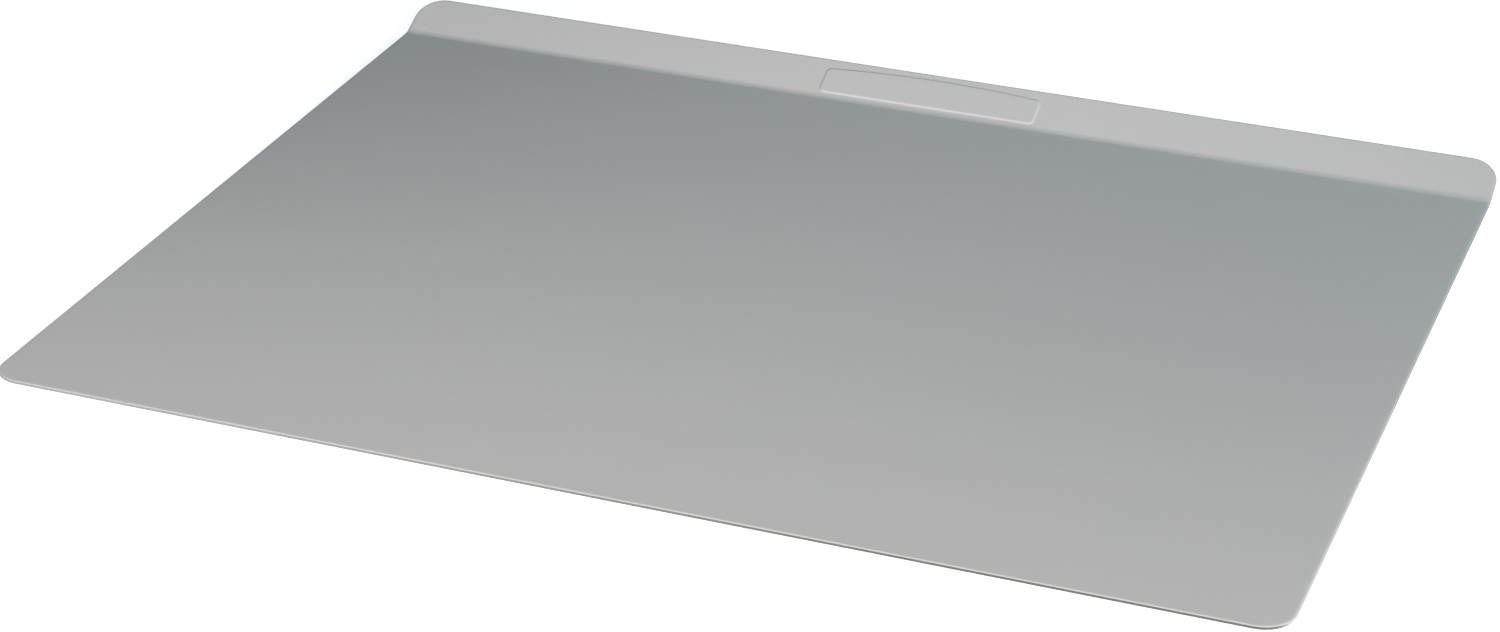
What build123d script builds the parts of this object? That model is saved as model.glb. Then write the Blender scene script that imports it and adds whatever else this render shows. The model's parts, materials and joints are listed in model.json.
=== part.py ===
# A cookie sheet with a flat bed and one edge turned up to hold it by.
# It is made of two thin steel sheets: the baking sheet on top is folded round the rim
# of a drawn base under it, and a layer of air between the two slows the browning.
#
# Millimetres, +Z up, +X along the width, +Y towards the turned-up edge.
# The origin is on the surface that the sheet stands on, under the middle of its outline.

import os
from math import cos, radians, sin, tan

from build123d import *

# The outline
overall_width = 508.0
overall_depth = 393.7
corner_radius = 12.7

# The turned-up lip along the back
lip_angle = 25.5
lip_length = 20.75  # up the slope, from the end of the bend to the outer edge
bend_radius = 11.0  # on the baking side

# The baking sheet
skin_thickness = 0.45
hem_width = 5.0  # of the strip folded under, from the outer edge

# The base
base_thickness = 0.4
air_gap = 4.6  # between the two sheets
base_rim_width = 14.0  # from the outer edge to where the base steps down
crease_margin = 10.0  # from the bend of the lip to where the base steps down
step_angle = 60.0  # of the drawn wall, from flat
step_radius = 1.6  # on the hollow side of both bends of the wall
step_corner_radius = 24.0  # seen from above, where the step starts

# The field embossed in the lip, at the middle of its sloping shoulders
field_width = 100.4
field_foot_margin = 0.7  # from the end of the bend
field_side_height = 13.9
field_arch_rise = 2.4  # of its top edge, at the middle
field_corner_radius = 2.2
field_raise = 0.35
shoulder_width = 0.9

# Clearances
seam_play = 0.03  # over and under the rim that the fold clamps
edge_play = 0.15  # between the edge of that rim and the inside of the fold

# The fold takes in the rim of the base between two thicknesses of the baking sheet
hem_thickness = 2 * skin_thickness + 2 * seam_play + base_thickness
fold_radius = hem_thickness / 2
rim_inset = fold_radius + edge_play
rim_depth = skin_thickness + seam_play

# The lip in side view, with the fold along its outer edge as its rearmost point
slope = radians(lip_angle)
bend_run = bend_radius * sin(slope)
bend_rise = bend_radius - bend_radius * cos(slope)
lip_run = (lip_length - fold_radius) * cos(slope) + fold_radius * sin(slope) + fold_radius

half_width = overall_width / 2
bed_depth = overall_depth - bend_run - lip_run
bed_top = base_thickness + air_gap + skin_thickness
front_edge = -overall_depth / 2
crease = front_edge + bed_depth

# The baking face of the bed and of the lip, each with its y axis running out from the bend
bed_plane = Plane(origin=(0, crease, bed_top), x_dir=(-1, 0, 0), z_dir=(0, 0, 1))
lip_plane = Plane(
    origin=(0, crease + bend_run, bed_top + bend_rise),
    x_dir=(1, 0, 0),
    z_dir=(0, -sin(slope), cos(slope)),
)

# A cut across the sheet at the bend, and one from front to back along its left edge
crease_section = Plane(origin=(0, crease, bed_top), x_dir=(1, 0, 0), z_dir=(0, -1, 0))
side_section = Plane(
    origin=(-half_width, crease, bed_top + bend_radius), x_dir=(0, 0, -1), z_dir=(1, 0, 0)
)
bend_axis = Axis((0, crease, bed_top + bend_radius), (1, 0, 0))


def leaf(plane, length, inset, depth, thickness):
    """A flat part of a sheet, from the bend to its two rounded corners, `depth` under its plane."""
    with BuildPart() as flat:
        with BuildSketch(plane.offset(-depth)):
            Rectangle(
                overall_width - 2 * inset, length - inset, align=(Align.CENTER, Align.MIN)
            )
            far_corners = vertices().group_by(Axis.Y)[-1]
            fillet(far_corners, radius=corner_radius - inset)
        extrude(amount=-thickness)
    return flat.part


def bent_sheet(inset, depth, thickness):
    """A sheet that lies along the bed, the bend and the lip, `depth` under the baking face."""
    with BuildPart() as sheet:
        add(leaf(bed_plane, bed_depth, inset, depth, thickness))
        with BuildSketch(crease_section):
            with Locations((0, -depth)):
                Rectangle(
                    overall_width - 2 * inset, thickness, align=(Align.CENTER, Align.MAX)
                )
        revolve(axis=bend_axis, revolution_arc=lip_angle)
        add(leaf(lip_plane, lip_length, inset, depth, thickness))
    return sheet.part


def field_outline(growth):
    """The arched field on the lip, with its outline moved out by `growth`."""
    side_top = field_foot_margin + field_side_height
    with BuildSketch() as outline:
        with BuildLine():
            foot = Line((-field_width / 2, field_foot_margin), (field_width / 2, field_foot_margin))
            right = Line(foot @ 1, (field_width / 2, side_top))
            arch = ThreePointArc(
                right @ 1, (0, side_top + field_arch_rise), (-field_width / 2, side_top)
            )
            Line(arch @ 1, foot @ 0)
        make_face()
        fillet(vertices(), radius=field_corner_radius)
        offset(amount=growth)
    return outline.sketch


def raised_field(depth):
    """The field with its sloping shoulders, standing on a face `depth` under the lip's own."""
    with BuildPart() as field:
        with BuildSketch(lip_plane.offset(-depth)):
            add(field_outline(shoulder_width / 2))
        with BuildSketch(lip_plane.offset(field_raise - depth)):
            add(field_outline(-shoulder_width / 2))
        loft(ruled=True)
    return field.part


os.makedirs("parts", exist_ok=True)

# Baking sheet: bed, bend and lip in one, with the edge folded under all the way round.
# The fold is swept along the left half of the outline, from the middle of the front edge
# to the middle of the lip's, and mirrored.
with BuildLine() as left_edge:
    with BuildLine(bed_plane):
        FilletPolyline(
            (0, bed_depth), (half_width, bed_depth), (half_width, 0), radius=corner_radius
        )
    with BuildLine(side_section):
        CenterArc((0, 0), bend_radius, 0, lip_angle)
    with BuildLine(lip_plane):
        FilletPolyline(
            (-half_width, 0), (-half_width, lip_length), (0, lip_length), radius=corner_radius
        )

with BuildPart() as baking_sheet:
    add(bent_sheet(fold_radius, 0, skin_thickness))
    with BuildSketch(Plane(origin=(0, front_edge, bed_top), x_dir=(0, -1, 0), z_dir=(-1, 0, 0))):
        with BuildLine():
            outside = CenterArc((-fold_radius, -fold_radius), fold_radius, -90, 180)
            inside = CenterArc((-fold_radius, -fold_radius), fold_radius - skin_thickness, -90, 180)
            Line(outside @ 1, inside @ 1)
            Polyline(
                inside @ 0,
                (-hem_width, skin_thickness - hem_thickness),
                (-hem_width, -hem_thickness),
                outside @ 0,
            )
        make_face()
    sweep(path=left_edge.wire())
    mirror(about=Plane.YZ)
    add(raised_field(0))
    add(raised_field(skin_thickness), mode=Mode.SUBTRACT)

baking_sheet.part.label = "baking_sheet"
export_step(baking_sheet.part, "parts/baking_sheet.step")

# Insulating base: its flat rim lies under the baking sheet in the fold and up the lip, where
# both sheets are pressed together, and its middle is drawn down to the panel that it stands on.
step_bend = 2 * step_radius + base_thickness
step_drop = air_gap - seam_play
wall_rise = step_drop - step_bend + step_bend * cos(radians(step_angle))
step_run = step_bend * sin(radians(step_angle)) + wall_rise / tan(radians(step_angle))

step_width = overall_width - 2 * base_rim_width
step_front = bed_depth - base_rim_width
step_length = step_front - crease_margin

with BuildLine(bed_plane.offset(-rim_depth)) as left_step:
    FilletPolyline(
        (0, step_front),
        (step_width / 2, step_front),
        (step_width / 2, crease_margin),
        (0, crease_margin),
        radius=step_corner_radius,
    )

with BuildPart() as insulating_base:
    add(bent_sheet(rim_inset, rim_depth, base_thickness))
    with BuildSketch(bed_plane.offset(-rim_depth)):
        with Locations((0, crease_margin + step_length / 2)):
            RectangleRounded(step_width, step_length, step_corner_radius)
    extrude(amount=-base_thickness, mode=Mode.SUBTRACT)
    with BuildSketch(
        Plane(
            origin=(0, crease - step_front, bed_top - rim_depth),
            x_dir=(0, -1, 0),
            z_dir=(-1, 0, 0),
        )
    ):
        with BuildLine():
            shoulder = (0, -base_thickness - step_radius)
            foot = (-step_run, step_radius - step_drop)
            over = CenterArc(shoulder, step_radius + base_thickness, 90, step_angle)
            under = CenterArc(shoulder, step_radius, 90, step_angle)
            floor_top = CenterArc(foot, step_radius, -90, step_angle)
            floor_under = CenterArc(foot, step_radius + base_thickness, -90, step_angle)
            Line(over @ 0, under @ 0)
            Line(over @ 1, floor_top @ 1)
            Line(under @ 1, floor_under @ 1)
            Line(floor_top @ 0, floor_under @ 0)
        make_face()
    sweep(path=left_step.wire())
    mirror(about=Plane.YZ)
    with BuildSketch(bed_plane.offset(-rim_depth - step_drop)):
        with Locations((0, crease_margin + step_length / 2)):
            RectangleRounded(
                step_width - 2 * step_run,
                step_length - 2 * step_run,
                step_corner_radius - step_run,
            )
    extrude(amount=-base_thickness)
    add(raised_field(rim_depth))
    add(raised_field(rim_depth + base_thickness), mode=Mode.SUBTRACT)

insulating_base.part.label = "insulating_base"
export_step(insulating_base.part, "parts/insulating_base.step")
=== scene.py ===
import json
import math

import bpy
from mathutils import Matrix, Vector


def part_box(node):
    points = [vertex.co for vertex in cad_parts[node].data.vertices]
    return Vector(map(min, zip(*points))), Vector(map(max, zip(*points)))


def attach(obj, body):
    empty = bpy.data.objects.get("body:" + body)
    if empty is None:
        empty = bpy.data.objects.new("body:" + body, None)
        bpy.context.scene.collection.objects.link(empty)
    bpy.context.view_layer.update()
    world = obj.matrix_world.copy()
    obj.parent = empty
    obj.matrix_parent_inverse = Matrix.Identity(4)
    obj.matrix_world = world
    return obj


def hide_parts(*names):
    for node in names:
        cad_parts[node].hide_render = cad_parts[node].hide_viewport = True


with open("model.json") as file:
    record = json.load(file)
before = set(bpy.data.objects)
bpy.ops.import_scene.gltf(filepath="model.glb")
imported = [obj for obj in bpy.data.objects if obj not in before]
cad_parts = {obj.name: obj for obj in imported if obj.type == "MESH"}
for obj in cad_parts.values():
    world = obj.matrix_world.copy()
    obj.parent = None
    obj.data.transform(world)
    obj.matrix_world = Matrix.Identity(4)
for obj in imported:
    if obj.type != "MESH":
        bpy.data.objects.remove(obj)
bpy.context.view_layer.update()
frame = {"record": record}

MM = 0.001

# The lip, the fold along the edge, and the two sheets
corner_radius = 12.7 * MM
lip_angle = math.radians(25.5)
lip_length = 20.75 * MM
bend_radius = 11.0 * MM
sheet_gauge = 0.45 * MM
hem_width = 5.0 * MM
fold_run = 1.1 * MM  # from where the face starts to ease over to the outline
standing_play = 0.002 * MM  # of the base's panel over the level that it stands on
base_gauge = 0.4 * MM
base_inset = 0.15 * MM
seam_play = 0.03 * MM

# The field embossed in the lip, at the middle of its sloping shoulders
field_half_width = 50.2 * MM
field_foot_margin = 0.7 * MM
field_side_height = 13.9 * MM
field_arch_rise = 2.4 * MM
field_corner_radius = 2.2 * MM
field_raise = 0.35 * MM
shoulder_width = 1.25 * MM

# The step that the base is drawn down by
base_rim_width = 14.0 * MM
crease_margin = 10.0 * MM
step_angle = math.radians(60)
step_radius = 1.6 * MM
step_corner_radius = 24.0 * MM

# Places that the frame gives
mounts = {mount["name"]: mount for mount in frame["record"]["mounts"]}
bed_top = mounts["baking_face"]["pos_m"][2]
sheet_low, sheet_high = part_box("baking_sheet")
fold_radius = (bed_top - sheet_low.z) / 2
rim_depth = sheet_gauge + seam_play
step_drop = bed_top - rim_depth - base_gauge - standing_play

# The lip in side view, and distances along the developed sheet from its crease
bend_length = bend_radius * lip_angle
bend_run = bend_radius * math.sin(lip_angle)
lip_run = (
    (lip_length - fold_radius) * math.cos(lip_angle)
    + fold_radius * math.sin(lip_angle)
    + fold_radius
)
crease = sheet_high.y - bend_run - lip_run
bed_depth = crease - sheet_low.y
field_foot = bend_length + field_foot_margin
field_side_top = field_foot + field_side_height
field_top = field_side_top + field_arch_rise
step_front = base_rim_width - bed_depth
step_back = -crease_margin
step_half_width = sheet_high.x - base_rim_width


def link(tree, source, target):
    """Sets a node's input, from a socket or from a plain value."""
    if isinstance(source, bpy.types.NodeSocket):
        tree.links.new(source, target)
    else:
        target.default_value = source


def place(tree, kind, inputs=None, **settings):
    """A new node with its settings, and its inputs given by name or by number."""
    node = tree.nodes.new(kind)
    for name, value in settings.items():
        setattr(node, name, value)
    for name, value in (inputs or {}).items():
        link(tree, value, node.inputs[name])
    return node


def calc(tree, operation, *values, clamp=False):
    """A Math node's result."""
    node = place(tree, "ShaderNodeMath", dict(enumerate(values)), operation=operation)
    node.use_clamp = clamp
    return node.outputs[0]


def between(tree, value, low, high):
    """The value, held between two others."""
    return calc(tree, "MAXIMUM", calc(tree, "MINIMUM", value, high), low)


def vector_calc(tree, operation, *values, scale=None):
    """A Vector Math node's result."""
    inputs = dict(enumerate(values))
    if scale is not None:
        inputs["Scale"] = scale
    node = place(tree, "ShaderNodeVectorMath", inputs, operation=operation)
    return node.outputs["Value" if operation == "LENGTH" else "Vector"]


def ramp(tree, value, start, end, low=0.0, high=1.0):
    """A value that goes smoothly from low to high as another goes from start to end."""
    return place(
        tree,
        "ShaderNodeMapRange",
        {"Value": value, "From Min": start, "From Max": end, "To Min": low, "To Max": high},
        interpolation_type="SMOOTHSTEP",
    ).outputs[0]


def add_sockets(tree, direction, sockets):
    """Named sockets on a node group, each with its kind and its default value."""
    for name, (kind, default) in sockets.items():
        socket = tree.interface.new_socket(
            name, in_out=direction, socket_type="NodeSocket" + kind
        )
        if default is not None:
            socket.default_value = default


# The blanks: flat faces that the press starts from, with their rows and columns close
# together where the corners, the bend, the embossed field and the drawn step need them

bend_rows = 12
lip_row_step = 1.0 * MM
arch_row_step = 0.5 * MM
least_row_step = 0.03 * MM
field_column_step = 1.6 * MM
plain_column_step = 8 * MM
corner_columns = 6
rounding_slack = 0.001


def steps_between(*stops):
    """Places from the first stop to the last. A stop is (place, longest step to the next)."""
    places = [stops[0][0]]
    for (start, step), (end, _) in zip(stops, stops[1:]):
        count = max(1, math.ceil((end - start) / step - rounding_slack))
        places += [start + (end - start) * (i + 1) / count for i in range(count)]
    return places


class Blank:
    """A sheet's flat face, with x across it and y from the crease, inset from the outline."""

    corner_rows = 12

    def __init__(self, name, inset, fine, rows, columns):
        self.half_width = sheet_high.x - inset
        self.front = inset - bed_depth
        self.back = bend_length + lip_length - inset
        self.corner = corner_radius - inset
        self.core = self.half_width - self.corner
        self.core_low = (-self.core, self.front + self.corner, 0)
        self.core_high = (self.core, self.back - self.corner, 0)
        self.mesh = self.face(name, self.rows(fine, rows), self.columns(fine, columns))

    def rows(self, fine, bed_stops):
        """Distances from the crease, from the front edge to the back."""
        corner = [
            self.corner * (1 - math.cos(math.pi / 2 * i / self.corner_rows))
            for i in range(self.corner_rows)
        ]
        rows = [self.front + row for row in corner]
        rows += steps_between(
            (self.front + self.corner, bed_stops[0]),
            *bed_stops[1:],
            (0, bend_length / bend_rows),
            (bend_length, lip_row_step),
            (field_foot - shoulder_width, fine),
            (field_foot + shoulder_width, 2 * fine),
            (field_foot + shoulder_width + field_corner_radius, lip_row_step),
            (field_side_top - field_corner_radius - shoulder_width, fine),
            (field_top + shoulder_width, arch_row_step),
            (self.back, 0),
        )[:-1]
        rows += [self.back - row for row in corner[: self.corner_rows // 2]]
        rows.sort()
        kept = [rows[0]]
        for row in rows[1:]:
            if row - kept[-1] > least_row_step:
                kept.append(row)
        return kept

    def columns(self, fine, bed_stops):
        """Distances from the middle, from left to right."""
        right = steps_between(
            (0, field_column_step),
            (field_half_width - field_corner_radius - shoulder_width, fine),
            (field_half_width + shoulder_width, plain_column_step),
            *bed_stops,
            (self.core, self.corner / corner_columns),
            (self.half_width, 0),
        )
        return [-x for x in reversed(right[1:])] + right

    def span(self, row):
        """Half the face's width at a row, where the rounded corners narrow it."""
        to_end = min(row - self.front, self.back - row, self.corner)
        across = max(0, self.corner**2 - (self.corner - to_end) ** 2)
        return self.core + math.sqrt(across)

    def face(self, name, rows, columns):
        """The mesh. At a rounded corner its outer columns draw in together."""
        points = []
        for row in rows:
            squeeze = (self.span(row) - self.core) / self.corner
            for x in columns:
                past_core = max(0, abs(x) - self.core)
                span = min(abs(x), self.core) + past_core * squeeze
                points.append((math.copysign(span, x), row, 0))
        wide = len(columns)
        faces = [
            (i * wide + j, i * wide + j + 1, (i + 1) * wide + j + 1, (i + 1) * wide + j)
            for i in range(len(rows) - 1)
            for j in range(wide - 1)
        ]
        mesh = bpy.data.meshes.new(name)
        mesh.from_pydata(points, [], faces)
        return mesh


# The press, in Geometry Nodes: each stage takes the geometry and hands it on worked

weld_distance = 0.001 * MM
fold_steps = 14
sharp_from = math.radians(35)
lip_sockets = {
    "Bend Radius": ("Float", 0.0),
    "Lip Angle": ("Float", 0.0),
    "Crease": ("Float", 0.0),
    "Face Height": ("Float", 0.0),
    "Depth Under Face": ("Float", 0.0),
    "Field Half Width": ("Float", 0.0),
    "Field Foot": ("Float", 0.0),
    "Field Side Top": ("Float", 0.0),
    "Field Arch Rise": ("Float", 0.0),
    "Field Corner Radius": ("Float", 0.0),
    "Field Raise": ("Float", 0.0),
    "Shoulder Width": ("Float", 0.0),
    "Material": ("Material", None),
}
fold_sockets = {
    "Core Low": ("Vector", None),
    "Core High": ("Vector", None),
    "Fold Run": ("Float", 0.0),
    "Fold Radius": ("Float", 0.0),
    "Hem Return": ("Float", 0.0),
}
step_sockets = {
    "Step Half Width": ("Float", 0.0),
    "Step Front": ("Float", 0.0),
    "Step Back": ("Float", 0.0),
    "Step Corner Radius": ("Float", 0.0),
    "Step Drop": ("Float", 0.0),
    "Step Angle": ("Float", 0.0),
    "Shoulder Radius": ("Float", 0.0),
    "Foot Radius": ("Float", 0.0),
}


def press(name, sockets, middle_stage):
    """A tree that embosses the field, does its own middle stage, and bends the lip up."""
    tree = bpy.data.node_groups.new(name, "GeometryNodeTree")
    add_sockets(tree, "INPUT", {"Geometry": ("Geometry", None), **sockets, **lip_sockets})
    add_sockets(tree, "OUTPUT", {"Geometry": ("Geometry", None)})
    given = place(tree, "NodeGroupInput").outputs
    welded = place(
        tree,
        "GeometryNodeMergeByDistance",
        {"Geometry": given["Geometry"], "Distance": weld_distance},
    )
    embossed, field_strain = raise_field(tree, given, welded.outputs[0])
    worked, own_strain = middle_stage(tree, given, embossed)
    bent = bend_lip(tree, given, worked, calc(tree, "MAXIMUM", field_strain, own_strain))
    smooth = place(tree, "GeometryNodeSetShadeSmooth", {"Geometry": bent})
    finished = place(
        tree,
        "GeometryNodeSetMaterial",
        {"Geometry": smooth.outputs[0], "Material": given["Material"]},
    )
    realized = place(tree, "GeometryNodeRealizeInstances", {"Geometry": finished.outputs[0]})
    place(tree, "NodeGroupOutput", {"Geometry": realized.outputs[0]})
    return tree


def here(tree):
    """Where a point is: its x, its distance from the crease, and its height."""
    position = place(tree, "GeometryNodeInputPosition").outputs[0]
    return place(tree, "ShaderNodeSeparateXYZ", {0: position}).outputs


def move(tree, geometry, **target):
    """Moves each point to a Position, or by an Offset."""
    inputs = {"Geometry": geometry}
    for name, parts in target.items():
        inputs[name] = place(tree, "ShaderNodeCombineXYZ", parts).outputs[0]
    return place(tree, "GeometryNodeSetPosition", inputs).outputs[0]


def note(tree, geometry, name, value):
    """Keeps a value at each point, under a name that the finishes read."""
    return place(
        tree,
        "GeometryNodeStoreNamedAttribute",
        {"Geometry": geometry, "Name": name, "Value": value},
        data_type="FLOAT",
        domain="POINT",
    ).outputs[0]


def past_outline(tree, past_side, past_end, corner):
    """Distance outside an outline with round corners, less than zero inside it."""
    side = calc(tree, "ADD", past_side, corner)
    end = calc(tree, "ADD", past_end, corner)
    side_out = calc(tree, "MAXIMUM", side, 0.0)
    end_out = calc(tree, "MAXIMUM", end, 0.0)
    squares = calc(tree, "MULTIPLY_ADD", end_out, end_out, calc(tree, "POWER", side_out, 2.0))
    inside = calc(tree, "MINIMUM", calc(tree, "MAXIMUM", side, end), 0.0)
    from_core = calc(tree, "ADD", calc(tree, "SQRT", squares), inside)
    return calc(tree, "SUBTRACT", from_core, corner)


def raise_field(tree, given, geometry):
    """Lifts the face inside the field's arched outline, over a smooth shoulder."""
    point = here(tree)
    past_side = calc(
        tree, "SUBTRACT", calc(tree, "ABSOLUTE", point["X"]), given["Field Half Width"]
    )
    past_foot = calc(tree, "SUBTRACT", given["Field Foot"], point["Y"])
    share = calc(tree, "DIVIDE", point["X"], given["Field Half Width"])
    height = calc(tree, "SUBTRACT", 1.0, calc(tree, "POWER", share, 2.0))
    arch = calc(tree, "MULTIPLY_ADD", height, given["Field Arch Rise"], given["Field Side Top"])
    past_arch = calc(tree, "SUBTRACT", point["Y"], arch)
    past_end = calc(tree, "MAXIMUM", past_foot, past_arch)
    beyond = past_outline(tree, past_side, past_end, given["Field Corner Radius"])
    half_shoulder = calc(tree, "MULTIPLY", given["Shoulder Width"], 0.5)
    inner = calc(tree, "MULTIPLY", half_shoulder, -1.0)
    lift = ramp(tree, beyond, half_shoulder, inner, 0.0, given["Field Raise"])
    strain = ramp(tree, calc(tree, "ABSOLUTE", beyond), half_shoulder, 0.0)
    return move(tree, geometry, Offset={"Z": lift}), strain


def fold_stages(tree, given):
    """How far each short step of the fold goes out and up: an eased quarter, then a round one."""
    steps = fold_steps // 2
    stages = []
    for quarter, reach in enumerate((given["Fold Run"], given["Fold Radius"])):
        for i in range(steps):
            start = math.pi / 2 * (quarter + i / steps)
            end = math.pi / 2 * (quarter + (i + 1) / steps)
            out = calc(tree, "MULTIPLY", reach, math.sin(end) - math.sin(start))
            up = calc(tree, "MULTIPLY", given["Fold Radius"], math.cos(end) - math.cos(start))
            stages.append((out, up))
    return stages


def fold_edge(tree, given, geometry):
    """Turns the edge over and under in short steps, then runs it back in as a flat strip."""
    position = place(tree, "GeometryNodeInputPosition").outputs[0]
    nearest = vector_calc(tree, "MINIMUM", given["Core High"], position)
    nearest = vector_calc(tree, "MAXIMUM", given["Core Low"], nearest)
    away = vector_calc(tree, "SUBTRACT", position, nearest)
    outward = vector_calc(tree, "NORMALIZE", vector_calc(tree, "MULTIPLY", away, (1, 1, 0)))
    neighbours = place(tree, "GeometryNodeInputMeshEdgeNeighbors").outputs[0]
    edge = place(
        tree, "FunctionNodeCompare", {2: neighbours, 3: 1}, data_type="INT", operation="EQUAL"
    ).outputs[0]
    strip_back = calc(tree, "MULTIPLY", given["Hem Return"], -1.0)
    for out, up in fold_stages(tree, given) + [(strip_back, 0.0)]:
        level = vector_calc(tree, "SCALE", outward, scale=out)
        upright = place(tree, "ShaderNodeCombineXYZ", {"Z": up}).outputs[0]
        strip = place(
            tree,
            "GeometryNodeExtrudeMesh",
            {
                "Mesh": geometry,
                "Selection": edge,
                "Offset": vector_calc(tree, "ADD", level, upright),
                "Offset Scale": 1.0,
            },
            mode="EDGES",
        )
        geometry, edge = strip.outputs["Mesh"], strip.outputs["Top"]
    across = calc(tree, "MULTIPLY", given["Fold Radius"], -2.0)
    turned = calc(tree, "DIVIDE", here(tree)["Z"], across, clamp=True)
    return note(tree, geometry, "turned_under", turned), 0.0


def draw_step(tree, given, geometry):
    """Draws the middle down: a round shoulder, a sloping wall and a round foot."""
    point = here(tree)
    past_side = calc(
        tree, "SUBTRACT", calc(tree, "ABSOLUTE", point["X"]), given["Step Half Width"]
    )
    past_front = calc(tree, "SUBTRACT", given["Step Front"], point["Y"])
    past_back = calc(tree, "SUBTRACT", point["Y"], given["Step Back"])
    past_end = calc(tree, "MAXIMUM", past_front, past_back)
    beyond = past_outline(tree, past_side, past_end, given["Step Corner Radius"])
    inward = calc(tree, "MULTIPLY", beyond, -1.0)
    sine = calc(tree, "SINE", given["Step Angle"])
    cosine = calc(tree, "COSINE", given["Step Angle"])
    radii = calc(tree, "ADD", given["Shoulder Radius"], given["Foot Radius"])
    round_drop = calc(tree, "MULTIPLY", radii, calc(tree, "SUBTRACT", 1.0, cosine))
    wall_drop = calc(tree, "SUBTRACT", given["Step Drop"], round_drop)
    steepness = calc(tree, "DIVIDE", sine, cosine)
    wall_run = calc(tree, "DIVIDE", wall_drop, steepness)
    shoulder_run = calc(tree, "MULTIPLY", given["Shoulder Radius"], sine)
    foot_run = calc(tree, "MULTIPLY", given["Foot Radius"], sine)
    run = calc(tree, "ADD", calc(tree, "ADD", shoulder_run, wall_run), foot_run)
    on_shoulder = between(tree, inward, 0.0, shoulder_run)
    on_wall = between(tree, calc(tree, "SUBTRACT", inward, shoulder_run), 0.0, wall_run)
    to_foot = between(tree, calc(tree, "SUBTRACT", run, inward), 0.0, foot_run)
    shoulder = arc_drop(tree, given["Shoulder Radius"], on_shoulder)
    left_to_fall = arc_drop(tree, given["Foot Radius"], to_foot)
    foot = calc(
        tree,
        "SUBTRACT",
        calc(tree, "MULTIPLY", given["Foot Radius"], calc(tree, "SUBTRACT", 1.0, cosine)),
        left_to_fall,
    )
    fall = calc(tree, "ADD", calc(tree, "MULTIPLY_ADD", on_wall, steepness, shoulder), foot)
    middle = calc(tree, "MULTIPLY", run, 0.5)
    off_middle = calc(tree, "ABSOLUTE", calc(tree, "SUBTRACT", inward, middle))
    strain = ramp(tree, off_middle, middle, 0.0)
    lowered = move(tree, geometry, Offset={"Z": calc(tree, "MULTIPLY", fall, -1.0)})
    return lowered, strain


def arc_drop(tree, radius, run):
    """How far a round has fallen, a given run away from its flat side."""
    squares = calc(
        tree, "SUBTRACT", calc(tree, "POWER", radius, 2.0), calc(tree, "POWER", run, 2.0)
    )
    return calc(tree, "SUBTRACT", radius, calc(tree, "SQRT", squares))


def bend_lip(tree, given, geometry, strain):
    """Rolls what lies past the crease round the bend and up the slope of the lip."""
    point = here(tree)
    radius = given["Bend Radius"]
    length = calc(tree, "MULTIPLY", radius, given["Lip Angle"])
    in_bend = between(tree, point["Y"], 0.0, length)
    past_bend = calc(tree, "SUBTRACT", point["Y"], in_bend)
    angle = calc(tree, "DIVIDE", in_bend, radius)
    sine, cosine = calc(tree, "SINE", angle), calc(tree, "COSINE", angle)
    height = calc(tree, "SUBTRACT", point["Z"], given["Depth Under Face"])
    reach = calc(tree, "SUBTRACT", radius, height)
    along = calc(
        tree, "MULTIPLY_ADD", reach, sine, calc(tree, "MULTIPLY", past_bend, cosine)
    )
    climb = calc(tree, "MULTIPLY_ADD", past_bend, sine, radius)
    up = calc(tree, "SUBTRACT", climb, calc(tree, "MULTIPLY", reach, cosine))
    half = calc(tree, "MULTIPLY", length, 0.5)
    off_middle = calc(tree, "ABSOLUTE", calc(tree, "SUBTRACT", point["Y"], half))
    bend_strain = ramp(tree, off_middle, length, 0.0, 0.0, 0.5)
    geometry = note(tree, geometry, "strain", calc(tree, "MAXIMUM", strain, bend_strain))
    return move(
        tree,
        geometry,
        Position={
            "X": point["X"],
            "Y": calc(tree, "ADD", along, given["Crease"]),
            "Z": calc(tree, "ADD", up, given["Face Height"]),
        },
    )


lip_sizes = {
    "Bend Radius": bend_radius,
    "Lip Angle": lip_angle,
    "Crease": crease,
    "Face Height": bed_top,
    "Field Half Width": field_half_width,
    "Field Foot": field_foot,
    "Field Side Top": field_side_top,
    "Field Arch Rise": field_arch_rise,
    "Field Corner Radius": field_corner_radius,
    "Field Raise": field_raise,
    "Shoulder Width": shoulder_width,
}


def pressed_piece(name, blank, tree, sizes, gauge, finish):
    """A blank put through its press, given its gauge, and made plain mesh."""
    worked = bpy.data.objects.new(name, blank.mesh)
    bpy.context.scene.collection.objects.link(worked)
    stage = worked.modifiers.new("press", "NODES")
    stage.node_group = tree
    values = {**lip_sizes, **sizes, "Material": finish}
    for item in tree.interface.items_tree:
        if item.in_out == "INPUT" and item.name in values:
            stage[item.identifier] = values[item.name]
    wall = worked.modifiers.new("gauge", "SOLIDIFY")
    wall.thickness = gauge
    wall.offset = -1
    wall.use_even_offset = True
    evaluated = worked.evaluated_get(bpy.context.evaluated_depsgraph_get())
    mesh = bpy.data.meshes.new_from_object(evaluated)
    bpy.data.objects.remove(worked)
    mesh.name = name
    mesh.shade_smooth()
    mesh.set_sharp_from_angle(angle=sharp_from)
    piece = bpy.data.objects.new(name, mesh)
    bpy.context.scene.collection.objects.link(piece)
    return piece


def pressed_sheet(finish):
    """The baking sheet: embossed, folded under along its edge, and bent up at the back."""
    fine = 0.14 * MM
    bed_step = 10 * MM
    blank = Blank("sheet_blank", fold_run, fine, [bed_step], [])
    sizes = {
        "Core Low": blank.core_low,
        "Core High": blank.core_high,
        "Fold Run": fold_run,
        "Fold Radius": fold_radius,
        "Hem Return": hem_width - fold_radius,
        "Depth Under Face": 0.0,
    }
    tree = press("sheet_press", fold_sockets, fold_edge)
    return pressed_piece("pressed_baking_sheet", blank, tree, sizes, sheet_gauge, finish)


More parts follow.
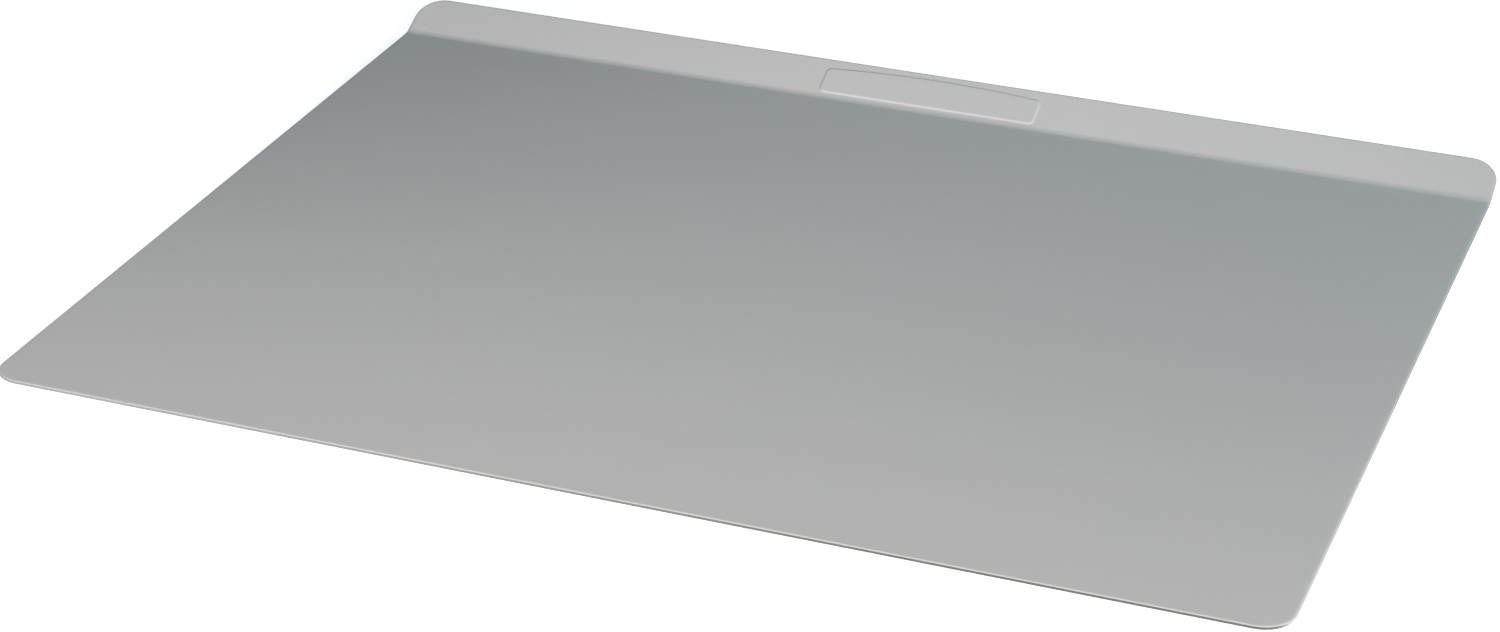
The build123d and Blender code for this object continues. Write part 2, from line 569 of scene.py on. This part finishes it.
def drawn_base(finish):
    """The base: its rim lies in the fold and up the lip, and its middle is drawn down."""
    fine = 0.28 * MM
    drawn_width = 5.2 * MM
    drawn_step, corner_step = 0.32 * MM, 1.1 * MM
    front_rim_step, rim_step, panel_step = 2 * MM, 4 * MM, 9 * MM
    rows = [
        front_rim_step,
        (step_front, drawn_step),
        (step_front + drawn_width, corner_step),
        (step_front + step_corner_radius, panel_step),
        (step_back - step_corner_radius, corner_step),
        (step_back - drawn_width, drawn_step),
        (step_back, rim_step),
    ]
    columns = [
        (step_half_width - step_corner_radius, corner_step),
        (step_half_width - drawn_width, drawn_step),
        (step_half_width, rim_step),
    ]
    blank = Blank("base_blank", fold_radius + base_inset, fine, rows, columns)
    sizes = {
        "Step Half Width": step_half_width,
        "Step Front": step_front,
        "Step Back": step_back,
        "Step Corner Radius": step_corner_radius,
        "Step Drop": step_drop,
        "Step Angle": step_angle,
        "Shoulder Radius": step_radius + base_gauge,
        "Foot Radius": step_radius,
        "Depth Under Face": rim_depth,
    }
    tree = press("base_press", step_sockets, draw_step)
    return pressed_piece("drawn_insulating_base", blank, tree, sizes, base_gauge, finish)


# Effects that both finishes use, each built once as a node group


def effect(name, inputs, outputs):
    """A shader node group with its named sockets, and what its inputs give."""
    tree = bpy.data.node_groups.new(name, "ShaderNodeTree")
    add_sockets(tree, "INPUT", {"Place": ("Vector", None), **inputs})
    add_sockets(tree, "OUTPUT", outputs)
    return tree, place(tree, "NodeGroupInput").outputs


def noise(tree, where, detail=2.0, roughness=0.5):
    """Soft noise from 0 to 1, one lump to each unit of its place."""
    return place(
        tree,
        "ShaderNodeTexNoise",
        {"Vector": where, "Scale": 1.0, "Detail": detail, "Roughness": roughness},
    ).outputs["Fac"]


def sized(tree, where, size):
    """A place measured in lumps of the given size."""
    return vector_calc(tree, "SCALE", where, scale=calc(tree, "DIVIDE", 1.0, size))


def centred(tree, value, depth):
    """Noise turned into a swing of the given depth to each side of zero."""
    swing = calc(tree, "SUBTRACT", value, 0.5)
    return calc(tree, "MULTIPLY", swing, calc(tree, "MULTIPLY", depth, 2.0))


def cloudy_coat():
    """Broad clouds in a sprayed coat: a little lighter and darker, warmer and cooler."""
    tree, given = effect(
        "cloudy_coat",
        {
            "Cloud Size": ("Float", 0.03),
            "Tone Depth": ("Float", 0.01),
            "Tint Depth": ("Float", 0.005),
        },
        {"Tone": ("Color", (1, 1, 1, 1))},
    )
    far_off = (31.0, 17.0, 5.0)
    where = sized(tree, given["Place"], given["Cloud Size"])
    clouds = noise(tree, where, detail=4.0, roughness=0.6)
    tone = centred(tree, clouds, given["Tone Depth"])
    elsewhere = vector_calc(tree, "ADD", where, far_off)
    tint = centred(tree, noise(tree, elsewhere), given["Tint Depth"])
    even = calc(tree, "ADD", tone, 1.0)
    colour = place(
        tree,
        "ShaderNodeCombineColor",
        {
            "Red": calc(tree, "ADD", even, tint),
            "Green": even,
            "Blue": calc(tree, "SUBTRACT", even, tint),
        },
    )
    place(tree, "NodeGroupOutput", {"Tone": colour.outputs[0]})
    return tree


def spray_grain():
    """The skin of a sprayed coat: orange peel, and fine specks of pigment in it."""
    tree, given = effect(
        "spray_grain",
        {
            "Peel Size": ("Float", 0.001),
            "Speck Size": ("Float", 0.0003),
            "Speck Depth": ("Float", 0.02),
        },
        {"Height": ("Float", 0.0), "Speck": ("Float", 1.0)},
    )
    speck_height = 0.25
    peel = noise(tree, sized(tree, given["Place"], given["Peel Size"]), roughness=0.45)
    specks = place(
        tree,
        "ShaderNodeTexVoronoi",
        {"Vector": sized(tree, given["Place"], given["Speck Size"]), "Scale": 1.0},
    )
    shade = place(tree, "ShaderNodeSeparateColor", {0: specks.outputs["Color"]}).outputs[0]
    speck = calc(tree, "ADD", centred(tree, shade, given["Speck Depth"]), 1.0)
    bump = calc(tree, "MULTIPLY_ADD", shade, speck_height, peel)
    place(tree, "NodeGroupOutput", {"Height": bump, "Speck": speck})
    return tree


def wipe_marks():
    """Long faint streaks, as a cloth or a spatula leaves them, in patches."""
    tree, given = effect(
        "wipe_marks",
        {
            "Direction": ("Float", 0.0),
            "Streak Length": ("Float", 0.1),
            "Streak Width": ("Float", 0.001),
            "Cover": ("Float", 0.4),
        },
        {"Marks": ("Float", 0.0)},
    )
    sway_size, sway_reach = 0.15, (0.0, 0.02, 0.0)
    depth_size, patch_size = 0.004, 0.09
    streak_from, streak_full = 0.48, 0.72
    patch_fade = 0.2
    sway = noise(tree, sized(tree, given["Place"], sway_size), detail=1.0)
    bowed = vector_calc(tree, "SCALE", sway_reach, scale=sway)
    turned = place(
        tree,
        "ShaderNodeVectorRotate",
        {
            "Vector": vector_calc(tree, "ADD", given["Place"], bowed),
            "Angle": given["Direction"],
        },
        rotation_type="Z_AXIS",
    ).outputs[0]
    part = place(tree, "ShaderNodeSeparateXYZ", {0: turned}).outputs
    stretched = place(
        tree,
        "ShaderNodeCombineXYZ",
        {
            "X": calc(tree, "DIVIDE", part["X"], given["Streak Length"]),
            "Y": calc(tree, "DIVIDE", part["Y"], given["Streak Width"]),
            "Z": calc(tree, "DIVIDE", part["Z"], depth_size),
        },
    ).outputs[0]
    lines = noise(tree, stretched, detail=3.0, roughness=0.6)
    streak = ramp(tree, lines, streak_from, streak_full)
    bare = calc(tree, "SUBTRACT", 1.0, given["Cover"])
    patch = noise(tree, sized(tree, given["Place"], patch_size))
    where = ramp(tree, patch, bare, calc(tree, "ADD", bare, patch_fade))
    place(tree, "NodeGroupOutput", {"Marks": calc(tree, "MULTIPLY", streak, where)})
    return tree


def worn_coat():
    """Where the coat is thin: rubbed on what stands proud, and broken into small nicks."""
    tree, given = effect(
        "worn_coat",
        {
            "Proud": ("Float", 0.0),
            "Nick Size": ("Float", 0.002),
            "Wear": ("Float", 0.3),
        },
        {"Thin": ("Float", 0.0)},
    )
    stretch_size, full_chance, fade = 0.04, 1.5, 0.2
    nicks = sized(tree, given["Place"], given["Nick Size"])
    broken = noise(tree, nicks, detail=4.0, roughness=0.65)
    stretch = noise(tree, sized(tree, given["Place"], stretch_size))
    chance = calc(tree, "MULTIPLY", calc(tree, "ADD", broken, stretch), given["Proud"])
    limit = calc(tree, "SUBTRACT", full_chance, given["Wear"])
    thin = ramp(tree, chance, limit, calc(tree, "ADD", limit, fade))
    place(tree, "NodeGroupOutput", {"Thin": thin})
    return tree


effects = {
    "clouds": cloudy_coat(),
    "grain": spray_grain(),
    "wipes": wipe_marks(),
    "wear": worn_coat(),
}


def use(tree, name, **values):
    """An effect placed in a material. Values are given by socket name, with _ for a space."""
    node = tree.nodes.new("ShaderNodeGroup")
    node.node_tree = effects[name]
    for socket, value in values.items():
        link(tree, value, node.inputs[socket.replace("_", " ")])
    return node.outputs


def mix(tree, share, first, second, kind="RGBA", blend="MIX"):
    """A Mix node's result, for colours or for numbers."""
    inputs = {"RGBA": (0, 6, 7, 2), "FLOAT": (0, 2, 3, 0)}[kind]
    node = place(
        tree, "ShaderNodeMix", dict(zip(inputs, (share, first, second))), data_type=kind
    )
    if kind == "RGBA":
        node.blend_type = blend
    return node.outputs[inputs[3]]


def new_material(name):
    material = bpy.data.materials.new(name)
    material.use_nodes = True
    material.node_tree.nodes.clear()
    return material, material.node_tree


def tinted(tree, share, colour, other):
    """A colour that has a share of another in it."""
    return mix(tree, share, colour, (*other, 1))


def coat_surface(tree, colour, roughness, metallic, height, bump_depth, specular):
    """The shader that a coat's colour, roughness and height go to."""
    bump = place(
        tree, "ShaderNodeBump", {"Height": height, "Strength": 1.0, "Distance": bump_depth}
    )
    shader = place(
        tree,
        "ShaderNodeBsdfPrincipled",
        {
            "Base Color": colour,
            "Roughness": roughness,
            "Metallic": metallic,
            "Specular IOR Level": specular,
            "Normal": bump.outputs[0],
        },
    )
    place(tree, "ShaderNodeOutputMaterial", {"Surface": shader.outputs[0]})


def kept(tree, name):
    """A value that the press kept at each point."""
    return place(tree, "ShaderNodeAttribute", attribute_name=name).outputs["Fac"]


def sheet_finish():
    """Light grey satin nonstick. Along the front, the side of the fold that turns under has
    painted shade, darker towards the right.
    """
    material, tree = new_material("light_grey_nonstick")
    where = place(tree, "ShaderNodeTexCoord").outputs["Object"]
    clouds = use(tree, "clouds", Place=where, Cloud_Size=0.028, Tone_Depth=0.018, Tint_Depth=0.008)
    grain = use(
        tree, "grain", Place=where, Peel_Size=0.0011, Speck_Size=0.00035, Speck_Depth=0.03
    )
    wipes = use(
        tree,
        "wipes",
        Place=where,
        Direction=0.35,
        Streak_Length=0.09,
        Streak_Width=0.0012,
        Cover=0.45,
    )
    turned = kept(tree, "turned_under")
    strain = kept(tree, "strain")
    light_grey = (0.41, 0.41, 0.407)
    stretched_grey, worn_grey = (0.55, 0.55, 0.55), (0.6, 0.6, 0.59)
    # Painted shade: colours for the shaded lower side of the front fold, darker at the right, and
    # where along the front it fades out
    fold_shade_left, fold_shade_right = (0.19, 0.19, 0.187), (0.07, 0.07, 0.068)
    fold_shade_right_from = 0.15
    fold_shade_front, fold_shade_fade = sheet_low.y + 2 * MM, sheet_low.y + 11 * MM
    crown = calc(
        tree, "SUBTRACT", ramp(tree, turned, 0.0, 0.04), ramp(tree, turned, 0.07, 0.16)
    )
    proud = calc(tree, "MAXIMUM", crown, calc(tree, "MULTIPLY", strain, 0.7))
    worn = use(tree, "wear", Place=where, Proud=proud, Nick_Size=0.0012, Wear=0.25)["Thin"]
    colour = mix(tree, 1.0, (*light_grey, 1), clouds["Tone"], blend="MULTIPLY")
    colour = mix(tree, 1.0, colour, grain["Speck"], blend="MULTIPLY")
    colour = tinted(tree, calc(tree, "MULTIPLY", strain, 0.04), colour, stretched_grey)
    colour = tinted(tree, calc(tree, "MULTIPLY", worn, 0.35), colour, worn_grey)
    part = place(tree, "ShaderNodeSeparateXYZ", {0: where}).outputs
    # Painted shade on the turned-under side of the fold near the front edge, deepening towards the
    # right
    front = ramp(tree, part["Y"], fold_shade_fade, fold_shade_front)
    under = ramp(tree, turned, 0.085, 0.265)
    to_right = ramp(tree, part["X"], sheet_low.x, fold_shade_right_from)
    painted_fold_shade = tinted(tree, to_right, (*fold_shade_left, 1), fold_shade_right)
    colour = mix(tree, calc(tree, "MULTIPLY", under, front), colour, painted_fold_shade)
    roughness = mix(tree, wipes["Marks"], 0.5, 0.43, "FLOAT")
    roughness = mix(tree, worn, roughness, 0.36, "FLOAT")
    roughness = mix(tree, calc(tree, "MULTIPLY", strain, 0.5), roughness, 0.58, "FLOAT")
    metallic = mix(tree, worn, 0.0, 0.35, "FLOAT")
    height = calc(tree, "SUBTRACT", grain["Height"], calc(tree, "MULTIPLY", worn, 0.5))
    coat_surface(
        tree, colour, roughness, metallic, height, bump_depth=0.012 * MM, specular=0.3
    )
    return material


def base_finish():
    """The plainer coat underneath. Its panel is scuffed along the bars of the rack."""
    material, tree = new_material("light_grey_base_coat")
    where = place(tree, "ShaderNodeTexCoord").outputs["Object"]
    clouds = use(tree, "clouds", Place=where, Cloud_Size=0.045, Tone_Depth=0.03, Tint_Depth=0.01)
    grain = use(
        tree, "grain", Place=where, Peel_Size=0.0016, Speck_Size=0.0004, Speck_Depth=0.06
    )
    scuffs = use(
        tree,
        "wipes",
        Place=where,
        Direction=math.pi / 2,
        Streak_Length=0.05,
        Streak_Width=0.0007,
        Cover=0.55,
    )
    strain = kept(tree, "strain")
    base_grey, stretched_grey, bare_grey = (0.38, 0.385, 0.38), (0.5, 0.5, 0.5), (0.55, 0.55, 0.54)
    panel_up_to, panel_below = 0.12 * MM, 0.02 * MM
    height_here = place(tree, "ShaderNodeSeparateXYZ", {0: where}).outputs["Z"]
    on_panel = ramp(tree, height_here, panel_up_to, panel_below)
    scuffed = calc(tree, "MULTIPLY", scuffs["Marks"], on_panel)
    worn = use(tree, "wear", Place=where, Proud=strain, Nick_Size=0.002, Wear=0.3)["Thin"]
    colour = mix(tree, 1.0, (*base_grey, 1), clouds["Tone"], blend="MULTIPLY")
    colour = mix(tree, 1.0, colour, grain["Speck"], blend="MULTIPLY")
    colour = tinted(tree, calc(tree, "MULTIPLY", strain, 0.15), colour, stretched_grey)
    bright = calc(tree, "MAXIMUM", scuffed, worn)
    colour = tinted(tree, calc(tree, "MULTIPLY", bright, 0.3), colour, bare_grey)
    roughness = mix(tree, bright, 0.56, 0.38, "FLOAT")
    metallic = mix(tree, bright, 0.0, 0.3, "FLOAT")
    height = calc(tree, "SUBTRACT", grain["Height"], calc(tree, "MULTIPLY", bright, 0.6))
    coat_surface(
        tree, colour, roughness, metallic, height, bump_depth=0.02 * MM, specular=0.35
    )
    return material


sheet = pressed_sheet(sheet_finish())
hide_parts("baking_sheet")
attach(sheet, "root")

base = drawn_base(base_finish())
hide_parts("insulating_base")
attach(base, "root")


# The camera, where the photograph was taken from

frame_width_px = 1500
focal_length_px = 3640
sensor_width_mm = 36
camera_place = Vector((0.45013, -1.24838, 0.65547))
camera_yaw = math.radians(20.459)
camera_pitch = math.radians(26.773)
camera_roll = math.radians(0.569)

lens = bpy.data.cameras.new("camera")
lens.sensor_width = sensor_width_mm
lens.lens = focal_length_px * sensor_width_mm / frame_width_px
camera = bpy.data.objects.new("camera", lens)
camera.matrix_world = (
    Matrix.Translation(camera_place)
    @ Matrix.Rotation(camera_yaw, 4, "Z")
    @ Matrix.Rotation(math.pi / 2 - camera_pitch, 4, "X")
    @ Matrix.Rotation(camera_roll, 4, "Z")
)
bpy.context.scene.collection.objects.link(camera)
bpy.context.scene.camera = camera


# The floor, the lamps and the world

floor_half_width = 8.0
floor_gap = 0.1 * MM
paper_grey = (0.7, 0.7, 0.7, 1)
white = (1, 1, 1, 1)
cool_fill = (0.4, 0.87, 1.0, 1)
fill_strength = 0.0885


def shows_background(tree):
    """1 for the rays that show the background: the camera's, and those in gloss and glass."""
    rays = place(tree, "ShaderNodeLightPath").outputs
    seen = calc(tree, "ADD", rays["Is Camera Ray"], rays["Is Glossy Ray"])
    return calc(tree, "ADD", seen, rays["Is Transmission Ray"], clamp=True)


def floor_paper():
    """White paper. Where it is seen it is lifted to white, and stays darker in the shadow."""
    material, tree = new_material("white_floor")
    near, near_glow, far_from, far_glow = 0.35, 0.85, 0.9, 1.0
    paper = place(tree, "ShaderNodeBsdfDiffuse", {"Color": paper_grey})
    where = place(tree, "ShaderNodeTexCoord").outputs["Object"]
    far = vector_calc(tree, "LENGTH", where)
    strength = ramp(tree, far, near, far_from, near_glow, far_glow)
    glow = place(tree, "ShaderNodeEmission", {"Color": white, "Strength": strength})
    both = place(tree, "ShaderNodeAddShader", {0: paper.outputs[0], 1: glow.outputs[0]})
    seen = place(
        tree,
        "ShaderNodeMixShader",
        {0: shows_background(tree), 1: paper.outputs[0], 2: both.outputs[0]},
    )
    clear = place(tree, "ShaderNodeBsdfTransparent")
    underside = place(tree, "ShaderNodeNewGeometry").outputs["Backfacing"]
    surface = place(
        tree, "ShaderNodeMixShader", {0: underside, 1: seen.outputs[0], 2: clear.outputs[0]}
    )
    place(tree, "ShaderNodeOutputMaterial", {"Surface": surface.outputs[0]})
    return material


def lay_floor():
    half = floor_half_width
    mesh = bpy.data.meshes.new("floor")
    corners = [(-half, -half), (half, -half), (half, half), (-half, half)]
    mesh.from_pydata([(x, y, -floor_gap) for x, y in corners], [], [(0, 1, 2, 3)])
    mesh.materials.append(floor_paper())
    floor = bpy.data.objects.new("floor", mesh)
    bpy.context.scene.collection.objects.link(floor)


def softbox(name, at, aim, size, power, spread, tint, mirrored=True):
    """A square lamp behind a grid, which keeps its light within a cone round where it aims.

    One that isn't mirrored lights the coat and leaves no glare in it.
    """
    light = bpy.data.lights.new(name, "AREA")
    light.shape = "SQUARE"
    light.size = size
    light.energy = power
    light.spread = math.radians(spread)
    light.color = tint
    lamp = bpy.data.objects.new(name, light)
    turn = (Vector((*aim, bed_top)) - Vector(at)).to_track_quat("-Z", "Y")
    lamp.matrix_world = Matrix.Translation(at) @ turn.to_matrix().to_4x4()
    lamp.visible_camera = False
    lamp.visible_glossy = mirrored
    bpy.context.scene.collection.objects.link(lamp)


def surround():
    """The world: white where it is seen, and an even fill for the rest."""
    world = bpy.data.worlds.new("surround")
    world.use_nodes = True
    tree = world.node_tree
    tree.nodes.clear()
    fill = place(tree, "ShaderNodeBackground", {"Color": cool_fill, "Strength": fill_strength})
    seen = place(tree, "ShaderNodeBackground", {"Color": white, "Strength": 1.0})
    mixed = place(
        tree,
        "ShaderNodeMixShader",
        {0: shows_background(tree), 1: fill.outputs[0], 2: seen.outputs[0]},
    )
    place(tree, "ShaderNodeOutputWorld", {"Surface": mixed.outputs[0]})
    bpy.context.scene.world = world


lay_floor()
surround()
softbox(
    "front_box",
    at=(1.124, -2.342, 0.351),
    aim=(-0.273, -0.181),
    size=0.65,
    power=32.8,
    spread=90,
    tint=(1.046, 1.012, 1.0),
    mirrored=False,
)
softbox(
    "right_box",
    at=(0.628, -0.336, 0.35),
    aim=(-0.3, -0.25),
    size=0.49,
    power=1.04,
    spread=90,
    tint=(1.036, 1.0, 0.945),
)
softbox(
    "left_box",
    at=(-0.308, -0.354, 0.35),
    aim=(0.3, -0.249),
    size=0.62,
    power=0.95,
    spread=115.6,
    tint=(1.09, 1.0, 1.01),
)
softbox(
    "back_box",
    at=(0.32, 0.661, 0.397),
    aim=(0.048, 0.197),
    size=0.3,
    power=0.65,
    spread=118.6,
    tint=(0.84, 1.0, 1.075),
)

bpy.context.scene.view_settings.view_transform = "Standard"
